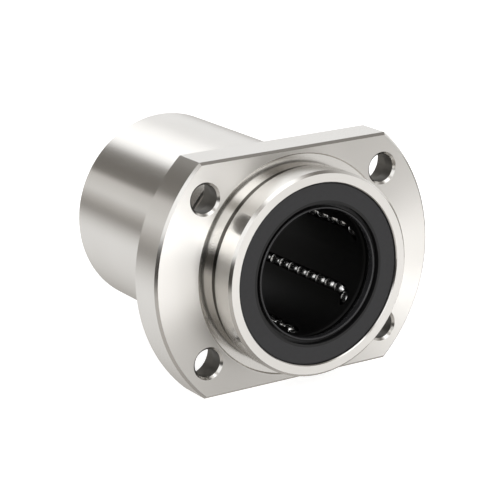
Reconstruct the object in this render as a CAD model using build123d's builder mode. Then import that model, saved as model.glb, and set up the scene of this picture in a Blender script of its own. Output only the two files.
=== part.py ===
"""Flanged linear ball bearing with a pilot end, for a 25 mm shaft. All sizes are in millimetres.

The shaft axis is the Y axis. The pilot end points along -Y, and the two flats of the flange
face up and down. The origin is on the shaft axis, in the flange face that the pilot stands on.
Distances along the axis are counted from that face and grow towards the pilot end.
"""

from math import atan2, cos, degrees, hypot, pi, radians, sin
import os

from build123d import *

# Shaft, sleeve and flange
shaft_diameter = 25.0
sleeve_diameter = 40.0
bearing_length = 59.0
pilot_length = 8.0
flange_diameter = 62.0
flange_width = 46.0
flange_thickness = 8.0
flange_chamfer = 0.5
sleeve_chamfer = 0.5

# Four screw holes, counterbored from the long side of the sleeve. A counterbore takes up the
# flange between two walls, and the hole in it leaves a ledge under the head of the screw.
counterbore_to_sleeve = 1.1
counterbore_to_rim = 0.9
counterbore_depth = 5.1
counterbore_chamfer = 0.3
screw_head_ledge = 1.75
screw_hole_chamfer = 0.5
screw_to_flat = 7.0

# Grinding reliefs in the corners between the flange and the ground cylinders
relief_width = 2.5
relief_depth = 0.35
relief_slope = 45.0
face_relief_width = 1.8
face_relief_depth = 0.25

# Ball circuits: each is a flat racetrack with a load row, a return row and two half-round turns
ball_diameter = 3.175
circuit_count = 6
first_row_angle = 27.6
balls_in_turn = 3
track_length_per_ball = 3.35
ball_gap_in_row = 0.09
row_lead = 0.65
turn_lead_angle = 54.0
ball_shaft_clearance = 0.03
ball_raceway_clearance = 0.05
ball_cage_clearance = 0.1
ball_sleeve_clearance = 0.12

# Raceway lands inside the sleeve
land_width = 4.4
land_overrun = 0.2
land_end_chamfer = 0.25

# Ball cage
cage_shaft_clearance = 0.3
cage_sleeve_clearance = 0.05
cage_end_clearance = 0.1
cage_end_wall = 0.6
cage_land_clearance = 0.1
cage_bore_chamfer = 0.3

# End seals, pressed into a pocket at each end of the sleeve
seal_thickness = 3.2
seal_recess = 0.4
seal_shoulder = 0.5
seal_fit_clearance = 0.02
seal_edge_chamfer = 0.25
pocket_mouth_chamfer = 0.17
lip_shaft_clearance = 0.05
lip_thickness = 0.5
lip_setback = 0.25
lip_length = 1.1
lip_edge_radius = 0.18
seal_groove_width = 0.7
seal_groove_depth = 1.1
seal_back_clearance = 0.8

# Derived sizes
shaft_radius = shaft_diameter / 2
sleeve_radius = sleeve_diameter / 2
flange_radius = flange_diameter / 2
ball_radius = ball_diameter / 2
front_end = pilot_length
rear_end = pilot_length - bearing_length
middle = (front_end + rear_end) / 2

counterbore_diameter = flange_radius - counterbore_to_rim - sleeve_radius - counterbore_to_sleeve
screw_hole_diameter = counterbore_diameter - 2 * screw_head_ledge
screw_circle_diameter = sleeve_diameter + 2 * counterbore_to_sleeve + counterbore_diameter
screw_spacing_up = flange_width - 2 * screw_to_flat
screw_spacing_across = (screw_circle_diameter**2 - screw_spacing_up**2) ** 0.5

channel_radius = ball_radius + ball_cage_clearance
turn_radius = balls_in_turn * track_length_per_ball / pi
pocket_depth = seal_recess + seal_thickness
cage_end = pocket_depth + cage_end_clearance
track_end = cage_end + cage_end_wall + channel_radius
balls_in_row = int((bearing_length - 2 * (track_end + turn_radius)) / track_length_per_ball)
row_length = balls_in_row * track_length_per_ball
front_tangent = middle + row_length / 2
rear_tangent = middle - row_length / 2
load_row_radius = shaft_radius + ball_shaft_clearance + ball_radius
return_row_radius = hypot(load_row_radius, 2 * turn_radius)
raceway_radius = load_row_radius + ball_radius + ball_raceway_clearance

sleeve_bore_radius = return_row_radius + ball_radius + ball_sleeve_clearance
pocket_radius = sleeve_bore_radius + seal_shoulder
relief_radius = sleeve_radius - relief_depth
relief_run = relief_depth / sin(radians(relief_slope)) * cos(radians(relief_slope))
row_angles = [first_row_angle + 360 / circuit_count * n for n in range(circuit_count)]

# A half-section is drawn in this plane: radius to the right, distance towards the pilot upwards
half_section = Plane(origin=(0, 0, 0), x_dir=(1, 0, 0), z_dir=(0, 0, -1))


def across(distance):
    """The plane square to the shaft at a distance from the flange face, facing the pilot end."""
    return Plane.XZ.offset(distance)


def circuit_plane(angle, distance=0.0):
    """The plane of one circuit's ball centres: x runs back towards the rear end of the bearing,
    y from the return row to the load row, and z outwards, away from the shaft."""
    outwards = Vector(cos(radians(angle)), 0, sin(radians(angle)))
    to_load_row = Vector(-sin(radians(angle)), 0, cos(radians(angle)))
    centre = outwards * load_row_radius - to_load_row * turn_radius - Vector(0, 1, 0) * distance
    return Plane(origin=centre, x_dir=(0, 1, 0), z_dir=outwards)


def save(piece, name):
    """Labels a finished piece and writes it to its own file."""
    piece.part.label = name
    export_step(piece.part, f"parts/{name}.step")


os.makedirs("parts", exist_ok=True)

# The sleeve and its flange are turned from one piece of bearing steel
with BuildPart() as flanged_sleeve:
    # Pilot, body and their reliefs, as one turned bar
    with BuildSketch(half_section):
        with BuildLine():
            Polyline(
                (0, rear_end),
                (sleeve_radius - sleeve_chamfer, rear_end),
                (sleeve_radius, rear_end + sleeve_chamfer),
                (sleeve_radius, -flange_thickness - relief_width - relief_run),
                (relief_radius, -flange_thickness - relief_width),
                (relief_radius, relief_width),
                (sleeve_radius, relief_width + relief_run),
                (sleeve_radius, front_end - sleeve_chamfer),
                (sleeve_radius - sleeve_chamfer, front_end),
                (0, front_end),
                close=True,
            )
        make_face()
    revolve(axis=Axis.Y)

    # Flange: a disc with two flats
    with BuildSketch(across(-flange_thickness)):
        Circle(flange_radius)
        Rectangle(flange_diameter, flange_width, mode=Mode.INTERSECT)
    extrude(amount=flange_thickness)
    flange_faces = flanged_sleeve.faces().filter_by(Axis.Y).filter_by(
        lambda face: abs(face.center().Y) < 0.01 or abs(face.center().Y - flange_thickness) < 0.01
    )
    chamfer([edge for face in flange_faces for edge in face.outer_wire().edges()], flange_chamfer)

    # Shallow relief in the front face round the root of the pilot, with a sloped outer wall
    with BuildSketch(half_section):
        with BuildLine():
            Polyline(
                (relief_radius, 0),
                (sleeve_radius + face_relief_width, 0),
                (sleeve_radius + face_relief_width - face_relief_depth, -face_relief_depth),
                (relief_radius, -face_relief_depth),
                close=True,
            )
        make_face()
    revolve(axis=Axis.Y, mode=Mode.SUBTRACT)

    # Screw holes: counterbored at the back, chamfered at both faces
    with Locations(across(-flange_thickness).rotated((180, 0, 0))):
        with GridLocations(screw_spacing_across, screw_spacing_up, 2, 2):
            CounterBoreHole(
                screw_hole_diameter / 2, counterbore_diameter / 2, counterbore_depth, flange_thickness
            )
    front_rims = flanged_sleeve.edges().filter_by(GeomType.CIRCLE).filter_by(
        lambda edge: abs(edge.radius - screw_hole_diameter / 2) < 0.01 and abs(edge.center().Y) < 0.01
    )
    chamfer(front_rims, screw_hole_chamfer)
    rear_rims = flanged_sleeve.edges().filter_by(GeomType.CIRCLE).filter_by(
        lambda edge: abs(edge.radius - counterbore_diameter / 2) < 0.01
        and abs(edge.center().Y - flange_thickness) < 0.01
    )
    chamfer(rear_rims, counterbore_chamfer)

    # Bore with a seal pocket at each end
    with BuildSketch(half_section):
        with BuildLine():
            Polyline(
                (0, rear_end),
                (pocket_radius + pocket_mouth_chamfer, rear_end),
                (pocket_radius, rear_end + pocket_mouth_chamfer),
                (pocket_radius, rear_end + pocket_depth),
                (sleeve_bore_radius, rear_end + pocket_depth),
                (sleeve_bore_radius, front_end - pocket_depth),
                (pocket_radius, front_end - pocket_depth),
                (pocket_radius, front_end - pocket_mouth_chamfer),
                (pocket_radius + pocket_mouth_chamfer, front_end),
                (0, front_end),
                close=True,
            )
        make_face()
    revolve(axis=Axis.Y, mode=Mode.SUBTRACT)

    # Hardened raceway lands, one over each load row, that stand inwards from the bore
    with BuildSketch(across(rear_tangent - land_overrun)):
        with PolarLocations(0, circuit_count, start_angle=first_row_angle):
            Rectangle(
                sleeve_bore_radius + land_width / 2, land_width, align=(Align.MIN, Align.CENTER)
            )
        Circle(pocket_radius, mode=Mode.INTERSECT)
        Circle(raceway_radius, mode=Mode.SUBTRACT)
    extrude(amount=row_length + 2 * land_overrun)
    land_ends = flanged_sleeve.edges().filter_by(GeomType.CIRCLE).filter_by(
        lambda edge: abs(edge.radius - raceway_radius) < 0.01
    )
    chamfer(land_ends, land_end_chamfer)
save(flanged_sleeve, "flanged_sleeve")

# The cage is one moulding: a tube with a racetrack channel for each circuit, open to the sleeve.
# The load side of each channel breaks through to the bore in a slot narrower than a ball.
cage_radius = sleeve_bore_radius - cage_sleeve_clearance
cage_bore_radius = shaft_radius + cage_shaft_clearance
cage_front = front_end - cage_end
cage_rear = rear_end + cage_end
keyway_floor = raceway_radius - cage_land_clearance
keyway_width = land_width + 2 * cage_land_clearance

with BuildPart() as ball_cage:
    with BuildSketch(across(cage_rear)):
        Circle(cage_radius)
        Circle(cage_bore_radius, mode=Mode.SUBTRACT)
    extrude(amount=cage_front - cage_rear)
    bore_rims = ball_cage.edges().filter_by(GeomType.CIRCLE).filter_by(
        lambda edge: abs(edge.radius - cage_bore_radius) < 0.01
    )
    chamfer(bore_rims, cage_bore_chamfer)

    # Keyways that slide over the raceway lands and stop the cage turning
    with BuildSketch(across(cage_rear)):
        with PolarLocations(0, circuit_count, start_angle=first_row_angle):
            Rectangle(cage_radius * 1.2, keyway_width, align=(Align.MIN, Align.CENTER))
        Circle(keyway_floor, mode=Mode.SUBTRACT)
    extrude(amount=cage_front - cage_rear, mode=Mode.SUBTRACT)

    # Racetrack channels with a round floor
    for angle in row_angles:
        plane = circuit_plane(angle, middle)
        with BuildSketch(plane):
            SlotCenterToCenter(row_length, 2 * (turn_radius + channel_radius))
            SlotCenterToCenter(row_length, 2 * (turn_radius - channel_radius), mode=Mode.SUBTRACT)
        extrude(amount=cage_radius, mode=Mode.SUBTRACT)
        with BuildLine(plane) as track:
            load_line = Line((-row_length / 2, turn_radius), (row_length / 2, turn_radius))
            rear_arc = TangentArc(load_line @ 1, (row_length / 2, -turn_radius), tangent=load_line % 1)
            return_line = Line(rear_arc @ 1, (-row_length / 2, -turn_radius))
            TangentArc(return_line @ 1, load_line @ 0, tangent=return_line % 1)
        with BuildSketch(Plane(origin=load_line @ 0, z_dir=load_line % 0)):
            Circle(channel_radius)
        sweep(path=track.wire(), mode=Mode.SUBTRACT)
save(ball_cage, "ball_cage")


def seal(end, inwards):
    """A moulded end seal. Its section is drawn from the end of the sleeve it sits in, and
    inwards is -1 at the pilot end and 1 at the rear end."""
    outer_radius = pocket_radius - seal_fit_clearance
    lip_radius = shaft_radius + lip_shaft_clearance
    groove_inner = lip_radius + lip_thickness
    groove_outer = groove_inner + seal_groove_width
    face = end + inwards * seal_recess
    back = end + inwards * pocket_depth
    lip_front = face + inwards * lip_setback
    lip_back = lip_front + inwards * lip_length
    groove_floor = face + inwards * seal_groove_depth
    with BuildPart() as ring:
        with BuildSketch(half_section):
            with BuildLine():
                Polyline(
                    (outer_radius, back),
                    (outer_radius, face + inwards * seal_edge_chamfer),
                    (outer_radius - seal_edge_chamfer, face),
                    (groove_outer, face),
                    (groove_outer, groove_floor),
                    (groove_inner, groove_floor),
                    (groove_inner, lip_front),
                    (lip_radius, lip_front),
                    (lip_radius, lip_back),
                    (lip_radius + seal_back_clearance, back),
                    close=True,
                )
            make_face()
        revolve(axis=Axis.Y)
        lip_rims = ring.edges().filter_by(GeomType.CIRCLE).filter_by(
            lambda edge: abs(edge.center().Y + lip_front) < 0.01 and edge.radius < groove_outer - 0.01
        )
        fillet(lip_rims, lip_edge_radius)
    return ring


save(seal(front_end, -1), "front_seal")
save(seal(rear_end, 1), "rear_seal")


def row_places(side):
    """Ball centres of a straight row in the circuit's plane; side is 1 for the load row and -1
    for the return row. The leading ball is near the pilot end in the load row and near the rear
    end in the return row, because the balls run opposite ways in the two."""
    pitch = ball_diameter + ball_gap_in_row
    leading = row_length / 2 - row_lead
    return [(side * (n * pitch - leading), side * turn_radius) for n in range(balls_in_row)]


def turn_places(end):
    """Ball centres of a half-round turn in the circuit's plane; end is -1 at the pilot end, where
    the balls leave the load row, and 1 at the rear end, where they come back to it."""
    start = 90 if end < 0 else -90
    places = []
    for n in range(balls_in_turn):
        angle = radians(start + turn_lead_angle + n * 180 / balls_in_turn)
        places.append((end * row_length / 2 + turn_radius * cos(angle), turn_radius * sin(angle)))
    return places


# The balls of each circuit are loose. They are grouped by the stretch of track that they are in.
groups = {
    "load_row_balls": row_places(1),
    "front_turn_balls": turn_places(-1),
    "return_row_balls": row_places(-1),
    "rear_turn_balls": turn_places(1),
}
for number, angle in enumerate(row_angles, 1):
    for group, places in groups.items():
        with BuildPart(circuit_plane(angle, middle)) as balls:
            with Locations(places):
                Sphere(ball_radius)
        save(balls, f"{group}_{number}")

print(f"load row at radius {load_row_radius:.3f}, return row at {return_row_radius:.3f}, "
      f"{degrees(atan2(2 * turn_radius, load_row_radius)):.1f} degrees apart")
print(f"sleeve bore radius {sleeve_bore_radius:.3f}, seal pocket radius {pocket_radius:.3f}")
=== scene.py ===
"""Flanged linear ball bearing, photographed in a white studio. Blender units are metres.

The pilot end points along -Y and the flats of the flange face up and down. Names that end in _mm
hold millimetres, and mm is one millimetre in metres.
"""

from math import radians

import bpy
from mathutils import Matrix, Vector


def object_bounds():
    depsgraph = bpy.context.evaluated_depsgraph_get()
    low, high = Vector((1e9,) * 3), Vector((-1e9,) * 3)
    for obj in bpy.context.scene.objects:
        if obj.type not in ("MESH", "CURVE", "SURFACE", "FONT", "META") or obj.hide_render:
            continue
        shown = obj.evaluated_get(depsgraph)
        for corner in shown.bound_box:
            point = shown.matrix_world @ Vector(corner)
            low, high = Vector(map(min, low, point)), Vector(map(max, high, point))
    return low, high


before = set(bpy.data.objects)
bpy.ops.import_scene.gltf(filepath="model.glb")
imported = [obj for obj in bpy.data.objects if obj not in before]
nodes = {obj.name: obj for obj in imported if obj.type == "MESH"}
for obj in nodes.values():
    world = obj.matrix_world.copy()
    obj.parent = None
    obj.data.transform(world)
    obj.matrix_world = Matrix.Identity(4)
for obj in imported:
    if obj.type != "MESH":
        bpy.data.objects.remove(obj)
cad_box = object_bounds()


# Sleeve and flange
# One piece of bearing steel, turned on a lathe and then ground on the sleeve and the pilot. Fine
# tool rings run round the axis on every face and spread reflections across themselves, so faces
# show bright sectors and the sleeve shows bands along its length.
mm = 0.001


def linear(hex_colour):
    """Turns an sRGB hex colour into the linear numbers that a shader socket takes."""
    parts = [int(hex_colour[i:i + 2], 16) / 255 for i in (1, 3, 5)]
    return [c / 12.92 if c <= 0.04045 else ((c + 0.055) / 1.055) ** 2.4 for c in parts] + [1.0]


def add(material, kind, settings=None, **links):
    """Adds a node. Settings are its own properties or its sockets, and links are what feeds it:
    a socket name with spaces as underscores, or in with a number, and the output it comes from.
    A Mix node takes numbers in 2 and 3 and colours in 6 and 7."""
    node = material.node_tree.nodes.new(kind)
    for name, value in (settings or {}).items():
        if isinstance(name, str) and hasattr(node, name):
            setattr(node, name, value)
        else:
            node.inputs[name].default_value = value
    for name, source in links.items():
        key = int(name[2:]) if name[:2] == "in" else name.replace("_", " ")
        material.node_tree.links.new(source, node.inputs[key])
    return node


def off_axis(material, place):
    """How far a place lies from the line along Y through its own zero."""
    flat = add(material, "ShaderNodeVectorMath", {"operation": "MULTIPLY", 1: (1.0, 0.0, 1.0)},
               in0=place)
    length = add(material, "ShaderNodeVectorMath", {"operation": "LENGTH"}, in0=flat.outputs[0])
    return length.outputs["Value"]


def within(material, place, reach_mm, front_mm, back_mm):
    """1 in a round stretch along Y that is given by its reach, front and back, and 0 outside."""
    near = add(material, "ShaderNodeMath", {"operation": "LESS_THAN", 1: reach_mm * mm},
               in0=off_axis(material, place))
    split = add(material, "ShaderNodeSeparateXYZ", in0=place)
    middle = (front_mm + back_mm) / 2
    level = add(material, "ShaderNodeMath",
                {"operation": "COMPARE", 1: middle * mm, 2: (back_mm - middle) * mm},
                in0=split.outputs["Y"])
    both = add(material, "ShaderNodeMath", {"operation": "MULTIPLY"},
               in0=near.outputs[0], in1=level.outputs[0])
    return both.outputs[0]


def blank_material(name):
    """A material with no nodes in it yet."""
    material = bpy.data.materials.new(name)
    material.use_nodes = True
    material.node_tree.nodes.clear()
    return material


def finish_with(material, shader, *names):
    """Puts the shader on the material, and the material on CAD nodes, in every slot."""
    add(material, "ShaderNodeOutputMaterial", Surface=shader.outputs[0])
    for name in names:
        slots = nodes[name].data.materials
        slots.clear()
        slots.append(material)


steel = blank_material("bearing steel, turned and ground")
place = add(steel, "ShaderNodeTexCoord")
split = add(steel, "ShaderNodeSeparateXYZ", in0=place.outputs["Object"])
along = split.outputs["Y"]

# Tool rings follow the radius on the faces and the distance along the axis on the cylinders. Real
# ones are too fine to show here, so they are drawn coarser
ring_spacing_mm = 0.35
ring_height_mm = 0.02
ring_place = add(steel, "ShaderNodeCombineXYZ",
                 in0=off_axis(steel, place.outputs["Object"]), in1=along)
rings = add(steel, "ShaderNodeTexNoise",
            {"Scale": 1 / (ring_spacing_mm * mm), "Detail": 3.0, "Roughness": 0.6},
            Vector=ring_place.outputs[0])
ring_roughness = add(steel, "ShaderNodeMapRange", {"To Min": 0.27, "To Max": 0.37},
                     Value=rings.outputs[0])

# Wiped oil leaves broad, faint patches
patch_size_mm = 14.0
patches = add(steel, "ShaderNodeTexNoise", {"Scale": 1 / (patch_size_mm * mm), "Detail": 2.0},
              Vector=place.outputs["Object"])
tone = add(steel, "ShaderNodeMix",
           {"data_type": "RGBA", 6: linear("#DDDBD7"), 7: linear("#E5E3E0")},
           in0=patches.outputs[0])

# The normal's share along the axis is 0 on the ground cylinders, 0.7 on the chamfers and 1 on the
# turned faces
chamfer_share = 0.7
share_leeway = 0.2
facing = add(steel, "ShaderNodeSeparateXYZ", in0=place.outputs["Normal"])
share = add(steel, "ShaderNodeMath", {"operation": "ABSOLUTE"}, in0=facing.outputs["Y"])
on_chamfer = add(steel, "ShaderNodeMath",
                 {"operation": "COMPARE", 1: chamfer_share, 2: share_leeway},
                 in0=share.outputs[0])
on_face = add(steel, "ShaderNodeMath",
              {"operation": "GREATER_THAN", 1: chamfer_share + share_leeway},
              in0=share.outputs[0])

# The pilot stands out of the flange's face, which lies at zero, and is ground finer than the sleeve
skin_mm = 0.1
pilot_end = cad_box[0][1]
on_pilot = add(steel, "ShaderNodeMath", {"operation": "LESS_THAN", 1: -skin_mm * mm}, in0=along)
on_pilot_end = add(steel, "ShaderNodeMath",
                   {"operation": "LESS_THAN", 1: pilot_end + skin_mm * mm}, in0=along)
ground_roughness = add(steel, "ShaderNodeMapRange", {"To Min": 0.2, "To Max": 0.16},
                       Value=on_pilot.outputs[0])
cut_roughness = add(steel, "ShaderNodeMix", {"data_type": "FLOAT"}, in0=on_face.outputs[0],
                    in2=ground_roughness.outputs[0], in3=ring_roughness.outputs[0])

# The relief round the root of the pilot is smooth from its forming tool
relief_reach_mm = 21.85
relief_front_mm = -2.85
relief_back_mm = 0.35
in_relief = within(steel, place.outputs["Object"],
                   relief_reach_mm, relief_front_mm, relief_back_mm)
formed_roughness = add(steel, "ShaderNodeMix", {"data_type": "FLOAT", 3: 0.12},
                       in0=in_relief, in2=cut_roughness.outputs[0])

# The corner of that relief is painted darker, as painted shade in the crease
corner_reach_mm = 19.75
corner_front_mm = -2.8
corner_back_mm = -1.2
in_corner = within(steel, place.outputs["Object"],
                   corner_reach_mm, corner_front_mm, corner_back_mm)
# Painted shade: the steel's colour is darkened in the crease at the pilot's root
crease_shade_tone = add(steel, "ShaderNodeMix", {"data_type": "RGBA", 7: linear("#55524D")},
                   in0=in_corner, in6=tone.outputs[2])

# The screw holes are drilled and counterbored, which leaves them dull, and their colour is painted
# darker as painted shade inside the holes. They mirror each other, so one hole stands for all four
hole_across_mm = 19.98
hole_up_mm = 16.0
hole_reach_mm = 4.9
hole_front_mm = 0.45
hole_back_mm = 7.75
mirrored = add(steel, "ShaderNodeVectorMath", {"operation": "ABSOLUTE"},
               in0=place.outputs["Object"])
from_hole = add(steel, "ShaderNodeVectorMath",
                {"operation": "SUBTRACT", 1: (hole_across_mm * mm, 0.0, hole_up_mm * mm)},
                in0=mirrored.outputs[0])
in_hole = within(steel, from_hole.outputs[0], hole_reach_mm, hole_front_mm, hole_back_mm)
# Painted shade: the steel's colour is darkened inside the holes
surface_tone = add(steel, "ShaderNodeMix", {"data_type": "RGBA", 7: linear("#6E6C68")},
                   in0=in_hole, in6=crease_shade_tone.outputs[2])
surface_roughness = add(steel, "ShaderNodeMix", {"data_type": "FLOAT", 3: 0.5},
                        in0=in_hole, in2=formed_roughness.outputs[0])

# Holes, chamfers and the pilot's end keep few tool rings, so they hardly spread light
small_cuts = add(steel, "ShaderNodeMath", {"operation": "MAXIMUM"},
                 in0=in_hole, in1=on_chamfer.outputs[0])
few_rings = add(steel, "ShaderNodeMath", {"operation": "MAXIMUM"},
                in0=small_cuts.outputs[0], in1=on_pilot_end.outputs[0])
streaks = add(steel, "ShaderNodeMapRange", {"To Min": 0.95, "To Max": 0.2},
              Value=few_rings.outputs[0])
ring_bump = add(steel, "ShaderNodeBump", {"Strength": 0.06, "Distance": ring_height_mm * mm},
                Height=rings.outputs[0])
tool_direction = add(steel, "ShaderNodeTangent", {"direction_type": "RADIAL", "axis": "Y"})
steel_shader = add(steel, "ShaderNodeBsdfPrincipled",
                   {"Metallic": 1.0, "Anisotropic Rotation": 0.25},
                   Base_Color=surface_tone.outputs[2], Roughness=surface_roughness.outputs[0],
                   Anisotropic=streaks.outputs[0], Normal=ring_bump.outputs[0],
                   Tangent=tool_direction.outputs[0])
finish_with(steel, steel_shader, "flanged_sleeve")

# Ball cage
# A black acetal moulding that slides into the sleeve from one end and holds every ball in its
# racetrack. The moulded bore has a soft sheen and a faint grain.
acetal = blank_material("acetal, moulded")
place = add(acetal, "ShaderNodeTexCoord")

# The grain of the mould is too fine to show here, so it is drawn coarser
grain_size_mm = 0.25
grain_height_mm = 0.03
grain = add(acetal, "ShaderNodeTexNoise", {"Scale": 1 / (grain_size_mm * mm), "Detail": 2.0},
            Vector=place.outputs["Object"])
tone = add(acetal, "ShaderNodeMix",
           {"data_type": "RGBA", 6: linear("#060606"), 7: linear("#0B0B0B")},
           in0=grain.outputs[0])
grain_roughness = add(acetal, "ShaderNodeMapRange", {"To Min": 0.38, "To Max": 0.55},
                      Value=grain.outputs[0])
grain_bump = add(acetal, "ShaderNodeBump", {"Strength": 0.15, "Distance": grain_height_mm * mm},
                 Height=grain.outputs[0])
acetal_shader = add(acetal, "ShaderNodeBsdfPrincipled", {"IOR": 1.48, "Specular IOR Level": 0.12},
                    Base_Color=tone.outputs[2], Roughness=grain_roughness.outputs[0],
                    Normal=grain_bump.outputs[0])
finish_with(acetal, acetal_shader, "ball_cage")

# End seals
# Nitrile rubber rings, moulded with a thin lip that wipes the shaft and pressed into the ends of
# the sleeve. Rubber is dark grey rather than black, with a dull, slightly mottled skin.
rubber = blank_material("nitrile rubber, moulded")
place = add(rubber, "ShaderNodeTexCoord")

mottle_size_mm = 0.6
mottle_height_mm = 0.04
mottle = add(rubber, "ShaderNodeTexNoise", {"Scale": 1 / (mottle_size_mm * mm), "Detail": 4.0},
             Vector=place.outputs["Object"])
tone = add(rubber, "ShaderNodeMix",
           {"data_type": "RGBA", 6: linear("#232325"), 7: linear("#303032")},
           in0=mottle.outputs[0])
mottle_roughness = add(rubber, "ShaderNodeMapRange", {"To Min": 0.45, "To Max": 0.62},
                       Value=mottle.outputs[0])

# The lip comes shiny out of its mould, and the step between face and lip is painted darker as
# painted shade
lip_radius_mm = 13.2
step_radius_mm = 13.55
step_half_width_mm = 0.7
radius = off_axis(rubber, place.outputs["Object"])
at_lip = add(rubber, "ShaderNodeMath", {"operation": "LESS_THAN", 1: lip_radius_mm * mm},
             in0=radius)
at_step = add(rubber, "ShaderNodeMath",
              {"operation": "COMPARE", 1: step_radius_mm * mm, 2: step_half_width_mm * mm},
              in0=radius)
# Painted shade: the rubber's colour is darkened on the ring of the step
step_shade_tone = add(rubber, "ShaderNodeMix", {"data_type": "RGBA", 7: linear("#0E0E0F")},
                in0=at_step.outputs[0], in6=tone.outputs[2])
skin_roughness = add(rubber, "ShaderNodeMix", {"data_type": "FLOAT", 3: 0.22},
                     in0=at_lip.outputs[0], in2=mottle_roughness.outputs[0])
mottle_bump = add(rubber, "ShaderNodeBump", {"Strength": 0.2, "Distance": mottle_height_mm * mm},
                  Height=mottle.outputs[0])
rubber_shader = add(rubber, "ShaderNodeBsdfPrincipled", {"IOR": 1.5, "Specular IOR Level": 0.4},
                    Base_Color=step_shade_tone.outputs[2], Roughness=skin_roughness.outputs[0],
                    Normal=mottle_bump.outputs[0])
finish_with(rubber, rubber_shader, "front_seal", "rear_seal")

# Balls
# Hardened chromium steel, lapped round between two plates and loose in the cage's racetracks.
# They roll in a film of oil, which smears and softens what they mirror.
ball_steel = blank_material("chromium steel, lapped")
place = add(ball_steel, "ShaderNodeTexCoord")

smear_size_mm = 1.5
smear = add(ball_steel, "ShaderNodeTexNoise", {"Scale": 1 / (smear_size_mm * mm), "Detail": 3.0},
            Vector=place.outputs["Object"])
tone = add(ball_steel, "ShaderNodeMix",
           {"data_type": "RGBA", 6: linear("#D2D2D2"), 7: linear("#E2E2E0")},
           in0=smear.outputs[0])
smear_roughness = add(ball_steel, "ShaderNodeMapRange", {"To Min": 0.2, "To Max": 0.27},
                      Value=smear.outputs[0])
ball_shader = add(ball_steel, "ShaderNodeBsdfPrincipled", {"Metallic": 1.0},
                  Base_Color=tone.outputs[2], Roughness=smear_roughness.outputs[0])
finish_with(ball_steel, ball_shader, *[name for name in nodes if "balls" in name])

# Studio floor
# A matt white board that the flange stands on. The camera sees it as white with a faint shadow.
# Reflections and the tent's light pass through it, as if the board were part of the lit cloth.
floor_level = cad_box[0][2]
floor_reach = 3.0
corners = [(-1, -1), (1, -1), (1, 1), (-1, 1)]
floor_mesh = bpy.data.meshes.new("floor")
floor_mesh.from_pydata([(x * floor_reach, y * floor_reach, floor_level) for x, y in corners],
                       [], [(0, 1, 2, 3)])
floor = bpy.data.objects.new("floor", floor_mesh)
bpy.context.scene.collection.objects.link(floor)

board = blank_material("white card, matt")
board_matt = add(board, "ShaderNodeBsdfDiffuse", {"Color": linear("#C8C8C8")})
board_glow = add(board, "ShaderNodeEmission", {"Color": linear("#FFFFFF"), "Strength": 0.8})
board_seen = add(board, "ShaderNodeAddShader", in0=board_matt.outputs[0], in1=board_glow.outputs[0])
board_open = add(board, "ShaderNodeBsdfTransparent")
rays = add(board, "ShaderNodeLightPath")
board_lit = add(board, "ShaderNodeMixShader", in0=rays.outputs["Is Camera Ray"],
                in1=board_matt.outputs[0], in2=board_seen.outputs[0])
board_clear = add(board, "ShaderNodeMath", {"operation": "MAXIMUM"},
                  in0=rays.outputs["Is Glossy Ray"], in1=rays.outputs["Is Shadow Ray"])
board_mix = add(board, "ShaderNodeMixShader", in0=board_clear.outputs[0],
                in1=board_lit.outputs[0], in2=board_open.outputs[0])
add(board, "ShaderNodeOutputMaterial", Surface=board_mix.outputs[0])
floor.data.materials.append(board)

# Light tent
# White cloth over long rods beside the bearing, brightest along the top and dark between the rods.
# Metal shows it as stripes. One cloth hangs behind the flange and one in front, and a stripe's
# place is its angle round the shaft, from level on the right over the top.
tent = bpy.data.worlds.new("light tent")
bpy.context.scene.world = tent
tent.use_nodes = True
tent.node_tree.nodes.clear()
place = add(tent, "ShaderNodeTexCoord")
split = add(tent, "ShaderNodeSeparateXYZ", in0=place.outputs["Generated"])
angle = add(tent, "ShaderNodeMath", {"operation": "ARCTAN2"},
            in0=split.outputs["Z"], in1=split.outputs["X"])
turns = add(tent, "ShaderNodeMath", {"operation": "DIVIDE", 1: radians(360)},
            in0=angle.outputs[0])
whole_turn = add(tent, "ShaderNodeMath", {"operation": "WRAP", 1: 1.0, 2: 0.0},
                 in0=turns.outputs[0])


def cloth(stripes):
    """A colour ramp round the shaft, from the stripes' angles and how bright each one is. Dim
    cloth is warmer, because it loses some green and more blue."""
    green_loss = 0.08
    blue_loss = 0.18
    ramp = add(tent, "ShaderNodeValToRGB", Fac=whole_turn.outputs[0])
    while len(ramp.color_ramp.elements) < len(stripes):
        ramp.color_ramp.elements.new(0.5)
    for element, (degrees_round, level) in zip(ramp.color_ramp.elements, stripes):
        dimness = max(0.0, 1.0 - level)
        element.position = degrees_round / 360
        element.color = (level, level * (1 - green_loss * dimness),
                         level * (1 - blue_loss * dimness), 1.0)
    return ramp.outputs[0]


rear_cloth = cloth([(0, 0.7), (15, 1.1), (45, 1.0), (55, 0.9), (63, 1.3), (92, 1.6), (103, 1.25),
                    (110, 0.2), (130, 0.17), (141, 0.22), (147, 0.65), (164, 0.8), (176, 0.5),
                    (186, 0.25), (200, 0.75), (210, 0.95), (250, 0.85), (285, 0.6), (320, 0.3)])
front_cloth = cloth([(0, 0.7), (20, 0.4), (38, 0.4), (50, 0.2), (60, 0.2), (68, 0.5), (80, 1.7),
                     (105, 1.7), (113, 0.5), (121, 0.5), (128, 1.2), (166, 1.2), (175, 0.05),
                     (194, 0.05), (202, 0.6), (240, 0.45), (262, 0.2), (300, 0.25), (318, 0.8),
                     (345, 0.82)])

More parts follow.
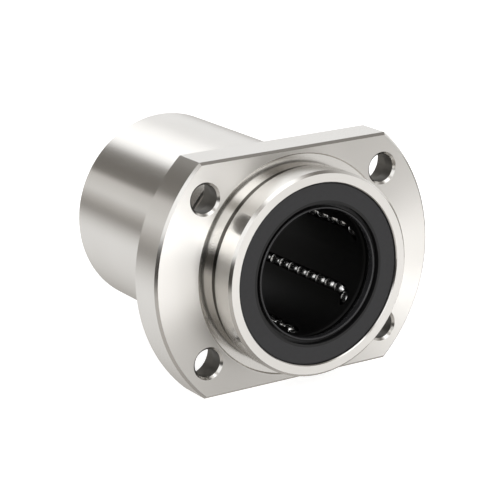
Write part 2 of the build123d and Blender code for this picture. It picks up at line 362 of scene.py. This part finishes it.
# The cloths blend where a direction hardly leans to the front or the back
seam_lean = 0.25
behind_flange = add(tent, "ShaderNodeMapRange", {"From Min": -seam_lean, "From Max": seam_lean},
                    Value=split.outputs["Y"])
both_cloths = add(tent, "ShaderNodeMix", {"data_type": "RGBA"},
                  in0=behind_flange.outputs[0], in6=front_cloth, in7=rear_cloth)
tent_light = add(tent, "ShaderNodeBackground", {"Strength": 1.0}, Color=both_cloths.outputs[2])
tent_white = add(tent, "ShaderNodeBackground", {"Color": linear("#FFFFFF"), "Strength": 1.0})
rays = add(tent, "ShaderNodeLightPath")
tent_mix = add(tent, "ShaderNodeMixShader", in0=rays.outputs["Is Camera Ray"],
               in1=tent_light.outputs[0], in2=tent_white.outputs[0])
add(tent, "ShaderNodeOutputWorld", Surface=tent_mix.outputs[0])


# Softboxes
# Square lamps behind white cloth. The tool rings on the flange's face spread the light of the two
# low ones into bright sectors, and the balls show the small one as round dots.
def softbox(name, place, size, power):
    """A square area lamp that points at the bearing."""
    lamp = bpy.data.lights.new(name, "AREA")
    lamp.size = size
    lamp.energy = power
    box = bpy.data.objects.new(name, lamp)
    box.location = place
    box.rotation_euler = Vector(place).to_track_quat("Z", "Y").to_euler()
    bpy.context.scene.collection.objects.link(box)


softbox("softbox in front", place=(0.1, -0.97, -0.18), size=0.5, power=1.7)
softbox("softbox on the right", place=(0.72, -0.63, -0.3), size=0.4, power=0.25)
softbox("softbox by the camera", place=(-0.3, -0.94, 0.1), size=0.25, power=1.0)

# Camera
# A long lens, from above and to the left of the pilot end, level but for a slight roll. The place
# and the lens were fitted to the outlines of the flange, the pilot and the sleeve.
camera_place = Vector((-0.21396, -0.32405, 0.11938))
camera_right = Vector((0.8445, -0.5353, -0.0138))
camera_up = Vector((0.1649, 0.2354, 0.9578))
camera_back = camera_right.cross(camera_up)
camera_data = bpy.data.cameras.new("camera")
camera_data.sensor_width = 36.0
camera_data.lens = 153.35
camera = bpy.data.objects.new("camera", camera_data)
bpy.context.scene.collection.objects.link(camera)
camera.matrix_world = Matrix.Translation(camera_place) @ Matrix(
    (camera_right, camera_up, camera_back)).transposed().to_4x4()
bpy.context.scene.camera = camera

bpy.context.scene.view_settings.view_transform = "Standard"
